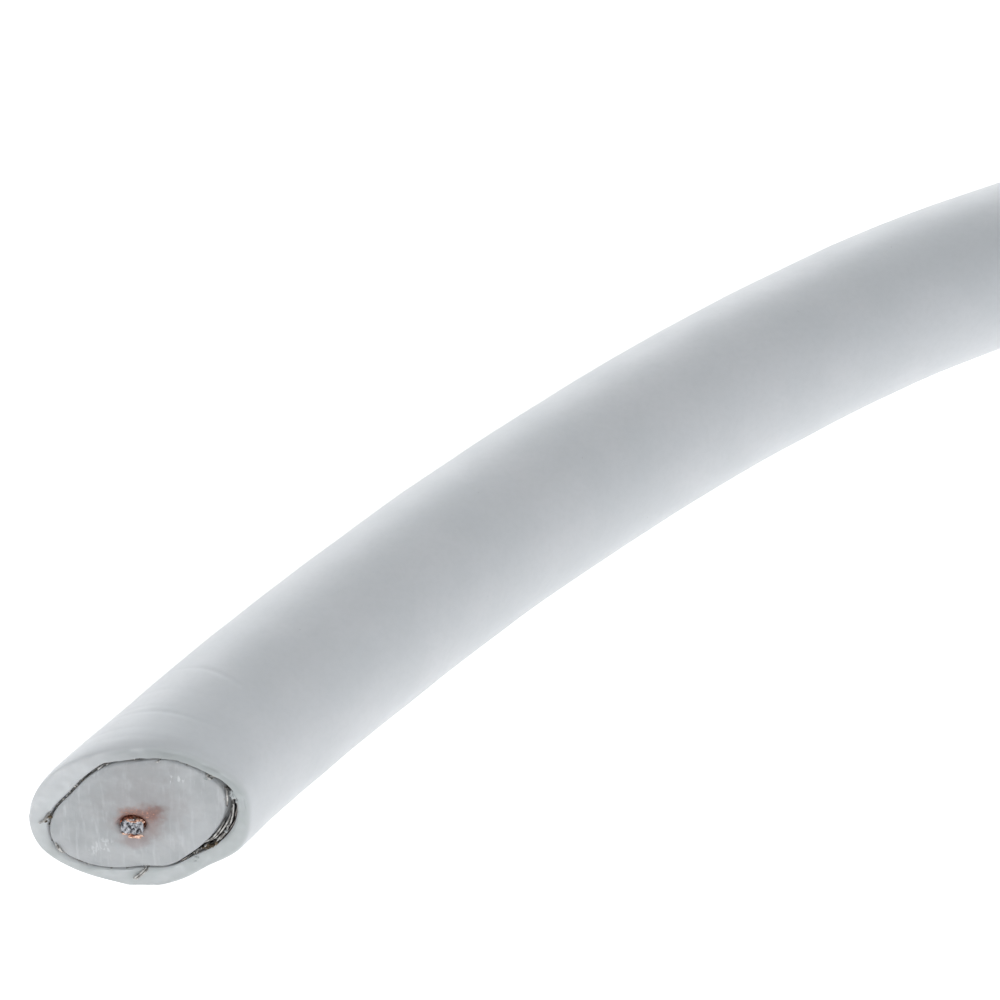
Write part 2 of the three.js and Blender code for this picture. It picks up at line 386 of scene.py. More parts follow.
class Shader:
    """A material's nodes. Numbers that are the same all over go straight on the main shader's sockets."""

    def __init__(self, name, **settings):
        self.material = bpy.data.materials.new(name)
        self.material.use_nodes = True
        self.tree = self.material.node_tree
        self.main = self.tree.nodes["Principled BSDF"]
        self.place = self.node("ShaderNodeTexCoord").outputs["Object"]
        for socket, value in settings.items():
            self.main.inputs[socket.replace("_", " ")].default_value = value

    def node(self, kind, inputs=(), **settings):
        made = self.tree.nodes.new(kind)
        for key, value in settings.items():
            setattr(made, key, value)
        for key, value in dict(inputs).items():
            if isinstance(value, bpy.types.NodeSocket):
                self.tree.links.new(value, made.inputs[key])
            else:
                made.inputs[key].default_value = value
        return made

    def noise(self, size_mm, detail=3, stretch=(1, 1, 1)):
        source = self.place
        if stretch != (1, 1, 1):
            source = self.node("ShaderNodeMapping", {"Vector": source, "Scale": stretch}).outputs[0]
        inputs = {"Vector": source, "Scale": 1 / (size_mm * MM), "Detail": detail, "Roughness": 0.55}
        return self.node("ShaderNodeTexNoise", inputs).outputs["Fac"]

    def ramp(self, value, low, high, from_value=0.0, to_value=1.0):
        inputs = {"Value": value, "From Min": low, "From Max": high, "To Min": from_value, "To Max": to_value}
        return self.node("ShaderNodeMapRange", inputs, interpolation_type="SMOOTHSTEP").outputs[0]

    def math(self, operation, a, b=0.0):
        return self.node("ShaderNodeMath", {0: a, 1: b}, operation=operation).outputs[0]

    def mix(self, share, a, b):
        made = self.node("ShaderNodeMix", {0: share}, data_type="RGBA")
        for index, value in ((6, a), (7, b)):
            if isinstance(value, bpy.types.NodeSocket):
                self.tree.links.new(value, made.inputs[index])
            else:
                made.inputs[index].default_value = (*value, 1)
        return made.outputs[2]

    def bump(self, *heights):
        """Bumps of (height, depth in mm), one over the other."""
        normal = None
        for height, depth_mm in heights:
            inputs = {"Height": height, "Distance": depth_mm * MM, "Strength": 1.0}
            if normal is not None:
                inputs["Normal"] = normal
            normal = self.node("ShaderNodeBump", inputs).outputs[0]
        self.link(normal, "Normal")

    def link(self, value, socket):
        self.tree.links.new(value, self.main.inputs[socket])

    def along(self, direction, middle):
        """How far a point lies along a direction from a middle, in mm."""
        inputs = {0: self.place, 1: tuple(middle)}
        offset = self.node("ShaderNodeVectorMath", inputs, operation="SUBTRACT").outputs[0]
        inputs = {0: offset, 1: tuple(np.asarray(direction) / MM)}
        return self.node("ShaderNodeVectorMath", inputs, operation="DOT_PRODUCT").outputs["Value"]

    def spot(self, across, upward, middle, size, wobble):
        """1 in the middle of an oval on the cut face and 0 at its edge, with a ragged outline."""
        x = self.math("DIVIDE", self.math("SUBTRACT", across, middle[0]), size[0])
        y = self.math("DIVIDE", self.math("SUBTRACT", upward, middle[1]), size[1])
        square = self.math("ADD", self.math("MULTIPLY", x, x), self.math("MULTIPLY", y, y))
        reach = self.math("ADD", self.math("SQRT", square), wobble)
        return self.ramp(reach, 1.0, 0.15)


def jacket_material():
    s = Shader("jacket_pvc", Subsurface_Weight=0.12, Subsurface_Radius=(0.0011, 0.001, 0.0009),
               Subsurface_Scale=1.0, IOR=1.48)
    cloudy = s.noise(3.5, 4)
    tone = s.mix(s.ramp(cloudy, 0.35, 0.7), (0.70, 0.722, 0.745), (0.74, 0.755, 0.778))
    grain = s.noise(0.22, 2)
    tone = s.mix(s.ramp(grain, 0.35, 0.75, 0, 0.14), tone, (0.60, 0.625, 0.64))
    specks = s.noise(0.14, 0)
    tone = s.mix(s.ramp(specks, 0.92, 0.94), tone, (0.30, 0.30, 0.30))
    # Painted shade on the jacket's cut rim: a darker tone near the cut plane, lighter towards the upper left
    # of the face (pale) and darkest towards the lower right.
    behind = s.along(-cut_normal, cut_middle)
    aside = s.math("ABSOLUTE", s.along(face_right, cut_middle))
    pale = s.along(unit(face_up - face_right), cut_middle)
    painted_rim_shade = s.math("MULTIPLY", s.ramp(behind, 0.12, -0.06), s.ramp(aside, 6, 4))
    painted_rim_shade = s.math("MULTIPLY", painted_rim_shade, s.ramp(pale, 3.2, 0.8, 0.15, 0.85))
    tone = s.mix(painted_rim_shade, tone, (0.51, 0.55, 0.55))
    s.link(tone, "Base Color")
    s.link(s.ramp(s.noise(1.3, 3), 0.3, 0.7, 0.34, 0.46), "Roughness")
    s.bump((s.noise(1.6, 2), 0.02), (grain, 0.002))
    return s.material


def dielectric_material():
    s = Shader("dielectric_polyethylene", Subsurface_Weight=0.35, Subsurface_Radius=(0.0014, 0.0013, 0.0012),
               Subsurface_Scale=1.0, IOR=1.51)
    across = s.along(face_right, cut_middle)
    upward = s.along(face_up, cut_middle)
    cloudy = s.noise(1.1, 4)
    tone = s.mix(s.ramp(cloudy, 0.35, 0.68), (0.47, 0.49, 0.505), (0.57, 0.585, 0.60))
    scratches = s.noise(0.16, 3, stretch=(1, 1, 0.12))
    tone = s.mix(s.ramp(scratches, 0.5, 0.72, 0, 0.6), tone, (0.68, 0.70, 0.72))
    wobble = s.math("MULTIPLY", s.math("SUBTRACT", s.noise(0.35, 3), 0.5), 0.9)
    # Patches on the cut face: lighter and darker patches, reddish copper smears round the wire, and a dark
    # band along the top edge that is painted shade of the recess under the jacket's rim.
    stains_and_shade = (
        ((1.90, -0.40), (1.2, 1.4), 0.50, (0.60, 0.62, 0.64)),
        ((0.30, -1.95), (1.8, 0.6), 0.50, (0.58, 0.60, 0.61)),
        ((0.15, 0.45), (2.4, 2.2), 0.75, (0.42, 0.41, 0.42)),
        # painted shade: the dark band along the top edge of the face, under the jacket's rim
        ((0.20, 2.10), (1.8, 0.8), 0.55, (0.40, 0.40, 0.41)),
        ((0.05, -0.30), (1.25, 1.05), 0.50, (0.38, 0.33, 0.33)),
        ((-0.25, -0.95), (0.75, 0.50), 0.55, (0.39, 0.29, 0.29)),
        ((-0.18, 0.12), (0.72, 0.55), 0.95, (0.31, 0.17, 0.14)),
        ((0.36, 0.16), (0.80, 0.66), 0.95, (0.29, 0.16, 0.14)),
        ((0.70, 0.42), (0.48, 0.30), 0.70, (0.27, 0.17, 0.15)),
        ((0.30, -0.45), (0.55, 0.60), 0.60, (0.38, 0.29, 0.28)),
        ((-0.62, -0.15), (0.30, 0.34), 0.60, (0.48, 0.28, 0.25)),
    )
    for middle, size, strength, colour in stains_and_shade:
        share = s.math("MULTIPLY", s.spot(across, upward, middle, size, wobble), strength)
        tone = s.mix(share, tone, colour)
    flecked = s.spot(across, upward, (0.05, 0.15), (1.0, 0.6), wobble)
    flecks = s.math("MULTIPLY", s.ramp(s.noise(0.07, 2), 0.56, 0.64), flecked)
    tone = s.mix(flecks, tone, (0.62, 0.30, 0.21))
    scuffed = s.math("MAXIMUM", s.spot(across, upward, (-1.35, -1.35), (0.6, 0.75), wobble),
                     s.spot(across, upward, (1.35, 1.75), (0.5, 0.3), wobble))
    scuffs = s.math("MULTIPLY", s.ramp(s.noise(0.11, 2, stretch=(1, 1, 0.35)), 0.54, 0.62), scuffed)
    tone = s.mix(s.math("MULTIPLY", scuffs, 0.7), tone, (0.80, 0.82, 0.84))
    s.link(tone, "Base Color")
    s.link(s.ramp(s.noise(0.5, 3), 0.3, 0.7, 0.32, 0.5), "Roughness")
    s.bump((s.noise(0.6, 3), 0.03), (scratches, 0.012))
    return s.material


def metal_material(name, dark, light, size_mm, roughness, depth_mm, stretch=(1, 1, 1)):
    """Metal with dark and light patches of about a size, which also stand up and lie low by a depth."""
    s = Shader(name, Metallic=1.0)
    patches = s.noise(size_mm, 4, stretch=stretch)
    s.link(s.mix(s.ramp(patches, 0.38, 0.62), dark, light), "Base Color")
    s.link(s.ramp(s.noise(size_mm * 2, 2), 0.3, 0.7, roughness * 0.7, roughness * 1.4), "Roughness")
    s.bump((patches, depth_mm))
    return s.material


def tie_material():
    s = Shader("tie_nylon", Subsurface_Weight=0.25, Subsurface_Radius=(0.0014, 0.0013, 0.001),
               Subsurface_Scale=1.0, IOR=1.53)
    s.link(s.mix(s.ramp(s.noise(2.2, 3), 0.3, 0.7), (0.66, 0.66, 0.63), (0.74, 0.74, 0.71)), "Base Color")
    s.link(s.ramp(s.noise(0.9, 2), 0.3, 0.7, 0.38, 0.55), "Roughness")
    s.bump((s.noise(0.35, 3), 0.008))
    return s.material


def floor_material():
    s = Shader("pale_floor", Roughness=0.9, Specular_IOR_Level=0.1, Emission_Strength=0.8)
    tone = s.mix(s.ramp(s.noise(60, 2), 0.3, 0.7), (0.5, 0.5, 0.5), (0.52, 0.52, 0.52))
    s.link(tone, "Base Color")
    s.main.inputs["Emission Color"].default_value = (1, 1, 1, 1)
    return s.material


jacket_look = jacket_material()
dielectric_look = dielectric_material()
steel_look = metal_material("sheared_steel", (0.05, 0.05, 0.06), (0.60, 0.61, 0.65), 0.09, 0.28, 0.03,
                            stretch=(1, 1, 0.45))
copper_look = metal_material("copper_cladding", (0.52, 0.27, 0.20), (0.98, 0.68, 0.53), 0.10, 0.25, 0.012)
foil_look = metal_material("shield_foil", (0.20, 0.18, 0.17), (0.42, 0.39, 0.37), 0.5, 0.4, 0.03)
strand_look = metal_material("braid_wire", (0.24, 0.23, 0.22), (0.62, 0.61, 0.59), 0.2, 0.3, 0.004)
debris_look = metal_material("cutting_dust", (0.10, 0.08, 0.06), (0.30, 0.24, 0.17), 0.1, 0.7, 0.01)
tie_look = tie_material()


# The layers of a cut end

few_around = round_angles(40)
ring_of_one = np.stack([np.cos(few_around), np.sin(few_around)], axis=1)
steel_radius = conductor_radius - cladding_thickness
foil_gap = 0.02 * MM  # between the foil and the jacket
foil_thickness = 0.05 * MM
wire_gap = 0.02 * MM  # between the dielectric and the wire
wire_step = 0.1 * MM  # between the wire's first two rings
steel_proud = 0.14 * MM
steel_rough = 0.03 * MM
steel_face_rings = 9
creased_length = 5.5 * MM
# Each crease: how far behind the cut, how deep and how wide, in mm, then the middle and half the length of
# its arc round the face, as angles
creases = (
    (0.62, 0.010, 0.12, 1.9, 0.7),
    (1.15, 0.014, 0.10, 2.3, 0.5),
    (2.1, 0.020, 0.10, 1.9, 0.6),
    (2.45, 0.012, 0.08, 2.2, 0.4),
    (3.4, 0.010, 0.12, 2.3, 0.5),
    (4.7, 0.018, 0.10, 1.8, 0.5),
)


def face_relief(points, share):
    """How far the dielectric's cut face stands out, in mm, at a share of the way from edge to wire."""
    dome = 0.06 * (1 - (1 - share) ** 2)
    return dome + 0.02 * waves(points, 1.2 * MM, 21) + 0.006 * waves(points, 0.2 * MM, 22)


def layers(name, end, far):
    """The cable's layers at an end, from the jacket to the conductor."""

    def jacket_outside(distance):
        """The jacket's reach with the faint creases that the cutter pressed into its upper side."""
        reach = end.jacket_reach(distance)
        points = np.stack([np.cos(around), np.sin(around), np.full(len(around), distance / MM / 3)], axis=1)
        for place, depth, width, middle, spread in creases:
            across = np.exp(-((end.face_angle - middle) / spread) ** 2)
            offset = distance / MM - place - 0.12 * waves(points[:, :2], 0.9, 7)
            reach = reach - depth * MM * end.squash * across * np.exp(-(offset / width) ** 2)
        uneven = 0.009 + 0.010 * math.exp(-distance / (7 * MM))
        return reach + uneven * MM * waves(points, 1.1, 5)

    def shield_outside(distance):
        return end.bore_reach(distance) - foil_gap

    def shield_inside(distance):
        return end.bore_reach(distance) - foil_gap - foil_thickness

    def bore(distance):
        return np.full(len(around), conductor_radius + wire_gap)

    ragged = 0.22 * MM + 0.09 * MM * waves(np.stack([np.cos(around), np.sin(around)], 1), 0.25, 31)
    upper = np.exp(-((end.face_angle - 1.45) / 1.25) ** 2)
    upper_left = np.exp(-((end.face_angle - 2.4) / 0.9) ** 2)
    rolled = (0.08 + (0.10 * upper + 0.02 * upper_left) * end.squash) * MM

    def sloping_rim(points, share):
        """The upper side of the rim slopes back, so that it runs on into the jacket's outside."""
        rough = 0.03 * waves(points, 0.9 * MM, 11) + 0.012 * waves(points, 0.25 * MM, 12)
        return rough + 0.20 * upper * end.squash * share

    jacket = sleeve(f"{name}_jacket", end, jacket_outside, end.bore_reach, far, jacket_look,
                    bevel=rolled, face_rings=8, relief=sloping_rim, stretch=1 + 3 * end.squash,
                    fine_length=creased_length * end.squash)
    dielectric = sleeve(f"{name}_dielectric", end, end.dielectric_reach, bore, far, dielectric_look,
                        bevel=(0.05 + 0.07 * upper_left) * MM, relief=face_relief, face_rings=26,
                        inner_offset=end.wire_offset)
    foil = sleeve(f"{name}_shield_foil", end, shield_outside, shield_inside, far, foil_look,
                  bevel=0.01 * MM, recess=ragged, face_rings=2)
    steel = rod(f"{name}_steel_core", wire_rings(end, far), steel_look, 25)
    return jacket, dielectric, foil, steel, cladding(f"{name}_copper_cladding", end, far)


def wire_ring(end, reach, distance):
    """A ring of the centre wire, which lies a little off the middle of a squashed face."""
    fade = math.exp(-(distance / squash_length) ** 2)
    return end.ring(np.full(len(few_around), reach), distance, few_around) + end.wire_offset * fade


def wire_rings(end, far):
    """Rings of the steel core, which stands proud of the cut face.

    It ends in a jagged face, which the shears spread over the copper and made almost square.
    """
    rows = [wire_ring(end, steel_radius, d) for d in reversed(ring_distances(far, wire_step))]
    spread = 1 + end.squash * (0.12 - 0.08 * np.cos(4 * few_around) + 0.03 * waves(ring_of_one, 0.4, 43))
    for k in range(steel_face_rings):
        flat = wire_ring(end, steel_radius * spread * (1 - k / steel_face_rings), 0.0)
        jag = steel_proud + steel_rough * (waves(flat, 0.16 * MM, 41) + 0.5 * waves(flat, 0.07 * MM, 42))
        rows.append(flat + jag[:, None] * end.normal)
    return rows


def cladding(name, end, far):
    """The copper skin round the steel, torn to a ragged lip that stands out above and below."""
    distances = ring_distances(far, wire_step)
    above, below = (np.exp(-((few_around - middle) / 0.55) ** 2) for middle in (1.3, 4.3))
    lip = (-0.08 + 0.20 * above + 0.20 * below + 0.05 * waves(ring_of_one, 0.25, 51)) * MM
    rows = [wire_ring(end, conductor_radius, d) for d in reversed(distances)]
    for reach in (conductor_radius, steel_radius + 0.3 * cladding_thickness):
        rows.append(wire_ring(end, reach, 0.0) + lip[:, None] * end.normal)
    rows += [wire_ring(end, steel_radius + 0.1 * cladding_thickness, d) for d in distances]
    vertices = np.concatenate(rows)
    faces = outside_out(vertices, grid_faces(len(rows), len(few_around), close_rows=True))
    return make_object(name, vertices, faces, copper_look, smooth_angle=40)


# The loose end's pieces

wire_place_mm = (-0.24, -0.30)  # right of and above the middle of the cut face
wire_offset = (wire_place_mm[0] * face_right + wire_place_mm[1] * face_up) * MM
cut = End(loose_line, cut_normal, squash=1.0, wire_offset=wire_offset)
loose_cable, dielectric, foil, steel, copper = layers("loose_end", cut, loose_reach)


def face_place(right_mm, up_mm, proud_mm):
    return cut_middle + (right_mm * face_right + up_mm * face_up + proud_mm * cut_normal) * MM


def join(name, parts, material, smooth_angle=40):
    """One object from several (vertices, faces) pairs."""
    vertices, faces, base = [], [], 0
    for part_vertices, part_faces in parts:
        vertices.append(part_vertices)
        faces += [[index + base for index in face] for face in part_faces]
        base += len(part_vertices)
    return make_object(name, np.concatenate(vertices), faces, material, smooth_angle)


def wire(points, radius, sides=8):
    """A thin round wire along points, closed at both ends."""
    points = np.asarray(points)
    along = unit(np.gradient(points, axis=0))
    helper = np.where(np.abs(along @ cut_normal)[:, None] > 0.8, face_up, cut_normal)
    side = unit(np.cross(helper, along))
    up = np.cross(along, side)
    angles = round_angles(sides)
    rows = [p + radius * (np.outer(np.cos(angles), s) + np.outer(np.sin(angles), u))
            for p, s, u in zip(points, side, up)]
    faces = grid_faces(len(rows), sides)[:, ::-1].tolist()
    faces.append(list(range(sides)))
    faces.append([(len(rows) - 1) * sides + k for k in reversed(range(sides))])
    return np.concatenate(rows), faces


strand_radius = 0.033 * MM
hidden_strand_radius = 0.03 * MM
hidden_strands = 150
strand_depth = 1.1 * MM  # how much further in a hidden strand starts than it ends
# Strands of the braid that show as single wires: points right of, above and proud of the face's middle, in mm
shown_strands = (
    ((3.02, 1.42, -0.5), (3.04, 1.25, 0.02), (3.06, 0.95, 0.06), (3.02, 0.50, 0.0), (2.98, 0.42, -0.3)),
    ((2.93, 1.36, -0.5), (2.94, 1.15, -0.05), (2.93, 0.75, 0.0), (2.90, 0.40, -0.2)),
    ((3.24, 0.78, -0.5), (3.25, 0.62, -0.02), (3.22, 0.18, 0.05), (3.05, -0.42, 0.0), (2.95, -0.6, -0.4)),
    ((3.17, 0.25, -0.5), (3.13, 0.10, 0.0), (2.90, -0.34, 0.06), (2.60, -0.86, 0.04), (2.32, -1.20, -0.2)),
    ((2.97, 0.00, -0.5), (2.92, -0.15, 0.0), (2.69, -0.52, 0.05), (2.45, -0.95, 0.0), (2.16, -1.27, -0.2)),
    ((2.93, -0.48, -0.4), (2.86, -0.62, 0.06), (2.74, -0.78, 0.08), (2.58, -1.10, 0.0), (2.50, -1.2, -0.3)),
    ((3.10, -0.20, -0.4), (3.02, -0.45, 0.03), (2.80, -0.75, 0.10), (2.72, -0.95, 0.04), (2.66, -1.1, -0.3)),
    ((0.24, -2.16, -0.6), (0.17, -2.27, 0.0), (-0.06, -2.48, 0.10), (-0.30, -2.73, 0.07)),
    ((0.31, -2.20, -0.6), (0.25, -2.30, 0.0), (0.03, -2.51, 0.10), (-0.22, -2.77, 0.07)),
    ((-2.98, 0.10, -0.5), (-3.06, 0.02, 0.02), (-3.24, -0.14, 0.06), (-3.42, -0.27, 0.04)),
    ((-2.95, 0.28, -0.5), (-3.02, 0.22, 0.04), (-3.18, 0.02, 0.05), (-3.26, -0.22, 0.02)),
    ((-2.86, -1.10, -0.4), (-2.84, -1.25, 0.05), (-2.76, -1.50, 0.06), (-2.68, -1.62, 0.02)),
    ((-2.96, -1.02, -0.4), (-2.92, -1.16, 0.05), (-2.84, -1.38, 0.08), (-2.80, -1.56, 0.0)),
    ((0.60, 2.46, -0.5), (0.66, 2.50, 0.02), (0.80, 2.57, 0.05), (0.90, 2.60, -0.3)),
    ((2.30, 1.98, -0.5), (2.36, 1.94, 0.03), (2.52, 1.78, 0.05), (2.62, 1.66, -0.3)),
)


def braid():
    """The strands that stand out, and the many short ends that fill the gap."""
    parts = []
    for strand in shown_strands:
        points = spline([face_place(*p) for p in strand], 5)
        parts.append(wire(points, strand_radius))
    draw = np.random.RandomState(61)
    for _ in range(hidden_strands):
        middle = draw.uniform(0, 2 * math.pi)
        lean = draw.uniform(-0.28, 0.28)
        share = draw.uniform(0.35, 0.75)
        top = draw.uniform(0.02, 0.30) * MM
        points = []
        for k in range(7):
            t = k / 6
            index = int((middle + lean * t) / (2 * math.pi) * len(around)) % len(around)
            depth = top + (1 - t) * strand_depth
            low, high = cut.dielectric_reach(depth)[index], cut.bore_reach(depth)[index]
            reach = np.array([low + (high - low) * share])
            points.append(cut.ring(reach, depth, around[index:index + 1])[0])
        parts.append(wire(points, hidden_strand_radius, 6))
    return join("braid_strands", parts, strand_look)


strands = braid()


def lump(middle, size, seed):
    """A small irregular crumb, with its size in mm to the right, up and out of the face."""
    rows, count, lumpiness = [], 14, 0.25
    angles = round_angles(count)
    for polar in np.linspace(0.12, math.pi - 0.12, 9):
        ways = np.stack([np.sin(polar) * np.cos(angles), np.sin(polar) * np.sin(angles),
                         np.full(count, math.cos(polar))], axis=1)
        ways = ways * (1 + lumpiness * waves(ways, 0.9, seed))[:, None]
        rows.append(face_place(*middle) + (ways * np.array(size) * MM) @ face_ways)
    vertices = np.concatenate(rows)
    faces = outside_out(vertices, grid_faces(len(rows), count))
    turned = faces[0][0] != 0
    ends = [list(range(count)), [(len(rows) - 1) * count + k for k in range(count)]]
    ends[0 if not turned else 1].reverse()
    return vertices, faces.tolist() + ends


burrs = join("jacket_burrs", [
    lump((3.24, 1.08, 0.0), (0.11, 0.17, 0.07), 71),
    lump((3.36, 0.80, 0.0), (0.05, 0.07, 0.05), 72),
    lump((2.96, -0.52, 0.06), (0.06, 0.05, 0.05), 73),
    lump((1.90, -1.80, 0.0), (0.07, 0.06, 0.05), 74),
    lump((1.84, -1.95, 0.0), (0.05, 0.04, 0.04), 75),
    lump((2.36, 1.78, 0.0), (0.09, 0.05, 0.04), 76),
    lump((3.42, 0.30, 0.0), (0.05, 0.10, 0.04), 77),
], jacket_look)
debris = join("cutting_dust", [
    lump((2.42, -1.30, -0.05), (0.16, 0.09, 0.05), 81),
    lump((2.24, -1.38, -0.05), (0.12, 0.06, 0.05), 82),
    lump((2.60, -1.16, -0.05), (0.07, 0.10, 0.05), 83),
    lump((-0.14, 1.16, 0.03), (0.022, 0.02, 0.02), 84),
    lump((0.01, 1.12, 0.03), (0.022, 0.028, 0.02), 85),
    lump((-3.05, -0.02, 0.0), (0.10, 0.05, 0.03), 86),
    lump((-3.22, -0.22, 0.0), (0.08, 0.04, 0.03), 87),
], debris_look)
copper_burrs = join("copper_burrs", [
    lump((-0.42, -0.66, 0.06), (0.24, 0.06, 0.05), 91),
    lump((-0.16, -0.80, 0.06), (0.26, 0.07, 0.05), 92),
    lump((-0.34, -0.03, 0.10), (0.10, 0.05, 0.05), 93),
    lump((-0.16, -0.06, 0.13), (0.12, 0.05, 0.05), 94),
    lump((-0.02, -0.02, 0.11), (0.12, 0.06, 0.05), 97),
    lump((0.12, -0.12, 0.08), (0.06, 0.09, 0.05), 95),
    lump((-0.46, -0.22, 0.06), (0.05, 0.05, 0.05), 96),
], copper_look)

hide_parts("jacket")
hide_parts("dielectric")
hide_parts("shield")
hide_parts("centre_conductor")


# The wound coil

stations = 150  # in one turn
crossing = (0.81, 0.965)  # the stretch of each turn in which it shifts to its next place, as shares of a turn
slack = 0.5 * MM  # how far turns wander between the ties
sides_of_turn = 16
turn_gap = 0.06 * MM  # between turns that touch
floor_gap = 0.2 * MM  # between the lowest turns and the floor, at the least
settling_rounds = 70
pushes = 3  # in each round
pull_back = 0.12  # how far turns go back towards their places in each round, as a share
held_at_tie = 0.012  # how near a tie turns keep their places, as a share of a turn
loose_from, loose_over = 0.02, 0.08  # where they start to wander, and over how much more, as shares of a turn
winding_end = 1.0 * MM  # of the wound cable, before where the loose end leaves
stub_length = 9 * MM  # the cable's inner end, behind the middle of the first tie
stub_overrun = 2 * MM
stub_steps = 40
stub_overlap = 0.3 * MM
stub_lean = (0.05, 0.08, 0.16)  # how the inner end's cut leans from square


def turn_places():
    """Places in the coil's section, in the order they are wound, with the free end's place last."""
    places = []
    for wound, row in enumerate(reversed(range(len(turns_in_row)))):
        count = turns_in_row[row]
        level = lowest_turn_height + row * row_pitch
        line = [((i - (count - 1) / 2) * turn_pitch, level) for i in range(count)]
        places += line if wound % 2 == 0 else line[::-1]
    return np.array(places + [(leaving_across, lowest_turn_height)])


def settled(wanted, held):
    """Turns that lie as near as they can to where they are wanted, without cutting into each other."""
    places = wanted.copy()
    room = 2 * cable_radius + turn_gap
    first, second = np.triu_indices(len(places), 1)
    for _ in range(settling_rounds):
        places += pull_back * (wanted - places)
        run = places.reshape(-1, 2)
        run[1:-1] = 0.25 * run[:-2] + 0.5 * run[1:-1] + 0.25 * run[2:]
        for _ in range(pushes):
            apart = places[second] - places[first]
            distance = np.linalg.norm(apart, axis=-1, keepdims=True)
            push = 0.5 * np.clip(room - distance, 0, None) * apart / np.maximum(distance, 1e-6)
            np.add.at(places, first, -push)
            np.add.at(places, second, push)
        places[..., 1] = np.maximum(places[..., 1], cable_radius + floor_gap)
        places = np.where(held[None, :, None], wanted, places)
    return places


def wind():
    """The middle line of the wound turns, from the cable's inner end to where the loose end leaves."""
    places = turn_places()
    share = np.arange(stations) / stations
    shift = smoothstep((share - crossing[0]) / (crossing[1] - crossing[0]))[None, :, None]
    wanted = places[:-1, None] * (1 - shift) + places[1:, None] * shift
    from_tie = np.abs((share * tie_count + 0.5) % 1 - 0.5) / tie_count
    loose = smoothstep((from_tie - loose_from) / loose_over)[None, :, None]
    progress = (np.arange(len(wanted))[:, None] + share)[..., None]
    wander = np.stack([waves(progress, 0.45, 101), waves(progress, 0.5, 102)], axis=-1)
    places = settled(wanted + slack * wander * loose, from_tie < held_at_tie).reshape(-1, 2)
    angle = leaving_angle + 2 * math.pi * np.arange(len(places)) / stations
    last = leaving_angle - winding_end / (coil_radius + leaving_across)
    angle, places = np.append(angle, last), np.concatenate([places, turn_places()[-1:]])
    ways = np.stack([np.cos(angle), np.sin(angle), np.zeros(len(angle))], axis=1)
    return coil_axis + ways * (coil_radius + places[:, :1]) + np.outer(places[:, 1], [0, 0, 1])


def coil_winding():
    line = wind()
    along = unit(np.gradient(line, axis=0))
    side = unit(np.cross([0.0, 0.0, 1.0], along))
    up = np.cross(along, side)
    angles = round_angles(sides_of_turn)
    ring = np.cos(angles)[None, :, None] * side[:, None] + np.sin(angles)[None, :, None] * up[:, None]
    rings = line[:, None] + cable_radius * ring
    return rod("coil_winding", list(rings), jacket_look)


def inner_end():
    """The cable's other end: a nearly square cut just behind the first tie, at the top of the bore."""
    across, height = turn_places()[0]
    radius = coil_radius + across
    angles = leaving_angle - np.linspace(stub_length, -stub_overrun, stub_steps) / radius
    ways = np.stack([np.cos(angles), np.sin(angles), np.zeros(stub_steps)], axis=1)
    points = coil_axis + ways * radius + np.array([0, 0, height])
    line = Line(spread_evenly(points, line_step), line_step)
    normal = unit(-line.along[0] + np.array(stub_lean))
    end = End(line, normal, squash=0.25, wire_offset=np.zeros(3))
    return layers("inner_end", end, stub_length - stub_overlap)


winding = coil_winding()
inner_pieces = inner_end()
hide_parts("coil_turns")


# The cable ties

edge_round = 0.3 * MM
head_edge_round = 0.28 * MM
# The head's windows: the axis that each looks along and the way, its margin and its depth
head_windows = (
    (1, 1, 1.1 * MM, 0.9 * MM),
    (0, 1, 0.8 * MM, 0.5 * MM),
    (0, -1, 0.9 * MM, 0.3 * MM),
)
tooth_pitch = 0.55 * MM
tooth_depth = 0.22 * MM
tooth_rise = 0.9  # the sloping share of a tooth
tail_root = 0.6 * MM  # length of the tail inside the head
tail_slope = 0.2 * MM  # how far the trimmed end leans back
tail_play = 0.1 * MM


def corner_turns(turns):
    """The turns at the corners of a section, going round it."""
    ordered = sorted(map(tuple, turns))
    out = []
    for points in (ordered, ordered[::-1]):
        half = []
        for point in points:
            while len(half) > 1:
                (ax, ay), (bx, by) = half[-2:]
                if (bx - ax) * (point[1] - ay) - (by - ay) * (point[0] - ax) > 1e-9:
                    break
                half.pop()
            half.append(point)
        out += half[:-1]
    return np.array(out)


def on_tie(angle, across, height, depth):
    """Points of a tie: across and up in the coil's section, and along the cable."""
    out = outward(angle)
    along = np.array([-out[1], out[0], 0])
    across, height, depth = (np.asarray(v)[..., None] for v in (across, height, depth))
    return coil_axis + out * (coil_radius + across) + along * depth + np.array([0, 0, 1]) * height


def band(angle, turns):
    """A band with rounded edges, drawn tight round the turns."""
    corners = corner_turns(turns)
    edges = np.roll(corners, -1, axis=0) - corners
    facing = np.arctan2(edges[:, 1], edges[:, 0]) - math.pi / 2
    quarter = np.linspace(0, math.pi / 2, 4)
    half_width, half_thick = tie_width / 2 - edge_round, tie_thickness / 2 - edge_round
    section = []
    for turned, (sx, sy) in enumerate(((1, 1), (-1, 1), (-1, -1), (1, -1))):
        angles = quarter + turned * math.pi / 2
        section.append(np.stack([sx * half_width + edge_round * np.cos(angles),
                                 sy * half_thick + edge_round * np.sin(angles)], axis=1))
    section = np.concatenate(section)
    middle = cable_radius + tie_gap + tie_thickness / 2
    rows = []
    for i, corner in enumerate(corners):
        turn = (facing[i] - facing[i - 1]) % (2 * math.pi)
        for share in np.linspace(0, 1, 6):
            way = facing[i - 1] + turn * share
            reach = middle + section[:, 1]
            rows.append(on_tie(angle, corner[0] + reach * math.cos(way), corner[1] + reach * math.sin(way),
                               section[:, 0]))
    vertices = np.concatenate(rows)
    return vertices, outside_out(vertices, grid_faces(len(rows), len(section), close_rows=True)).tolist()


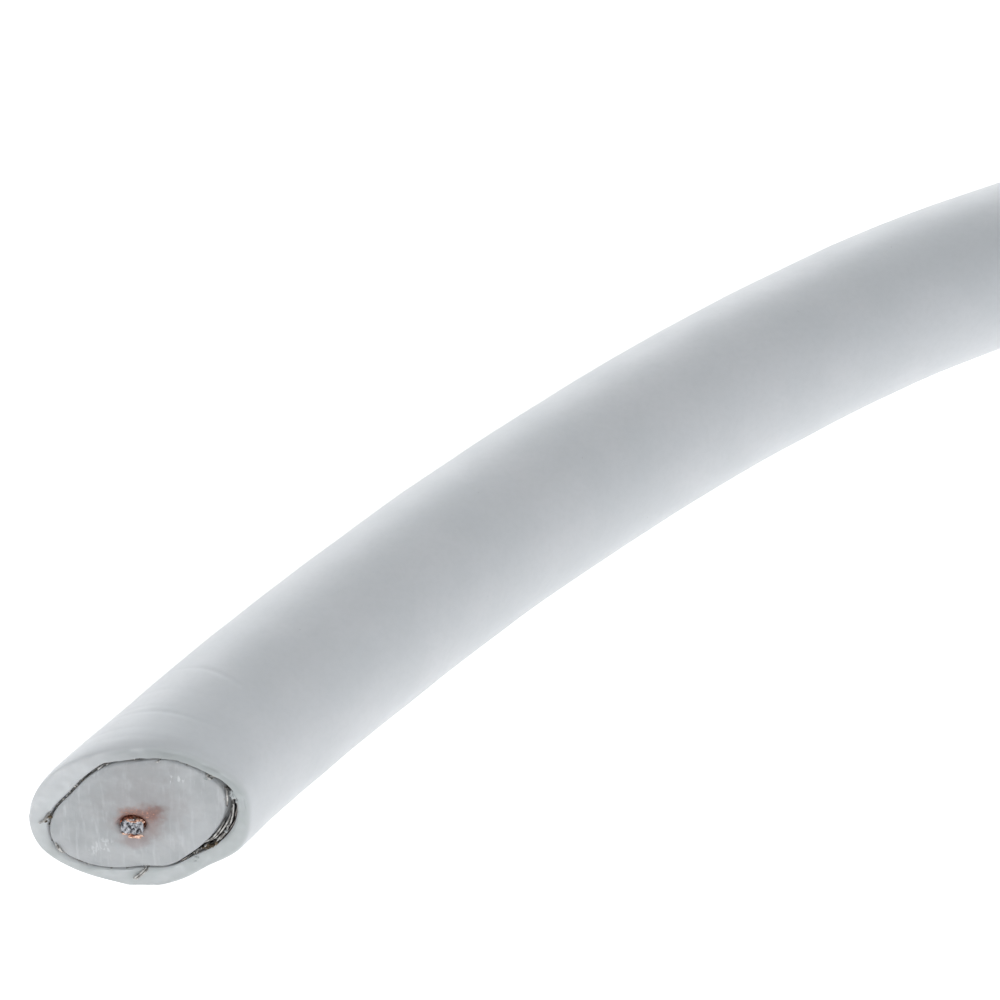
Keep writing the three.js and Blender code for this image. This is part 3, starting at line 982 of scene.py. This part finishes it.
def tie_head(angle, low, high):
    """A box with rounded edges and recessed windows in some of its faces."""
    shape = bmesh.new()
    bmesh.ops.create_cube(shape, size=1)
    low, high = np.array(low), np.array(high)
    for vertex in shape.verts:
        vertex.co = Vector((low + high) / 2 + np.array(vertex.co) * (high - low))
    for axis, sign, margin, depth in head_windows:
        shape.faces.ensure_lookup_table()
        face = max(shape.faces, key=lambda f: sign * f.calc_center_median()[axis])
        bmesh.ops.inset_individual(shape, faces=[face], thickness=margin)
        shift = Vector([0, 0, 0])
        shift[axis] = -sign * depth
        inner = bmesh.ops.extrude_discrete_faces(shape, faces=[face])["faces"]
        bmesh.ops.translate(shape, vec=shift, verts=list({v for f in inner for v in f.verts}))
    bmesh.ops.bevel(shape, geom=list(shape.edges), offset=head_edge_round, segments=2, profile=0.6,
                    affect="EDGES", clamp_overlap=True)
    shape.verts.index_update()
    local = np.array([v.co for v in shape.verts])
    faces = [[v.index for v in f.verts] for f in shape.faces]
    shape.free()
    return on_tie(angle, local[:, 0], local[:, 1], local[:, 2]), turned_out(faces)


def turned_out(faces):
    """Faces made in (across, up, along), which is a left-handed frame on the coil."""
    return [face[::-1] for face in faces]


def tail(angle, start, level):
    """The trimmed tail: a short toothed strip that comes out of the head."""
    teeth = int(tail_length / tooth_pitch)
    root = start - tail_root
    outline = [(root, level)]
    for k in range(teeth):
        x = start + k * tooth_pitch
        outline += [(x, level), (x + tooth_rise * tooth_pitch, level + tooth_depth), (x + tooth_pitch, level)]
    outline.append((start + tail_length, level + tail_play))
    outline.append((start + tail_length - tail_slope, level + tie_thickness))
    outline.append((root, level + tie_thickness))
    outline = np.array(outline)
    half = tie_width / 2 - tail_play
    vertices = np.concatenate([on_tie(angle, outline[:, 0], outline[:, 1], np.full(len(outline), z))
                               for z in (-half, half)])
    count = len(outline)
    faces = [[i, (i + 1) % count, count + (i + 1) % count, count + i] for i in range(count)]
    faces += [list(range(count))[::-1], [count + i for i in range(count)]]
    return vertices, turned_out(faces)


def cable_tie(number, turns):
    angle = leaving_angle + 2 * math.pi * number / tie_count
    level = max(turns[:, 1]) + cable_radius + tie_gap
    head = tie_head(angle, (-head_length / 2, level, -head_width / 2),
                    (head_length / 2, level + head_height, head_width / 2))
    strip = tail(angle, head_length / 2, level + head_height / 2)
    name = f"cable_tie_{number + 1}"
    piece = join(f"nylon_{name}", [band(angle, turns), head, strip], tie_look, smooth_angle=35)
    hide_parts(name)


for number in range(tie_count):
    places = turn_places()
    cable_tie(number, places if number == 0 else places[:-1])


# The floor and the light

floor_reach = 3.0
light_levels = ((0.0, 1.25), (0.35, 1.15), (0.75, 0.42), (1.0, 0.34))  # (height, brightness)
light_tint = (0.98, 1.0, 1.012)
front_strength, back_strength = 0.55, 1.6


def make_floor():
    mesh = bpy.data.meshes.new("floor")
    corners = [(x * floor_reach, y * floor_reach, 0) for x, y in ((-1, -1), (1, -1), (1, 1), (-1, 1))]
    mesh.from_pydata(corners, [], [(0, 1, 2, 3)])
    mesh.materials.append(floor_material())
    floor = bpy.data.objects.new("floor", mesh)
    bpy.context.scene.collection.objects.link(floor)


def make_light():
    """A light tent: bright low down, most of all behind the cable, and dimmer overhead."""
    world = bpy.data.worlds.new("light_tent")
    bpy.context.scene.world = world
    world.use_nodes = True
    nodes, links = world.node_tree.nodes, world.node_tree.links
    place = nodes.new("ShaderNodeTexCoord")
    height = nodes.new("ShaderNodeSeparateXYZ")
    ramp = nodes.new("ShaderNodeValToRGB")
    links.new(place.outputs["Generated"], height.inputs[0])
    links.new(height.outputs["Z"], ramp.inputs[0])
    links.new(ramp.outputs[0], nodes["Background"].inputs["Color"])
    back = nodes.new("ShaderNodeMapRange")
    links.new(height.outputs["Y"], back.inputs["Value"])
    for socket, value in (("From Min", -1.0), ("From Max", 1.0), ("To Min", front_strength),
                          ("To Max", back_strength)):
        back.inputs[socket].default_value = value
    links.new(back.outputs[0], nodes["Background"].inputs["Strength"])
    ramp.color_ramp.elements[0].position = light_levels[0][0]
    ramp.color_ramp.elements[1].position = light_levels[-1][0]
    for position, _ in light_levels[1:-1]:
        ramp.color_ramp.elements.new(position)
    for element, (_, level) in zip(ramp.color_ramp.elements, light_levels):
        element.color = (*(level * share for share in light_tint), 1)
    bpy.context.scene.view_settings.view_transform = "Standard"


make_floor()
make_light()
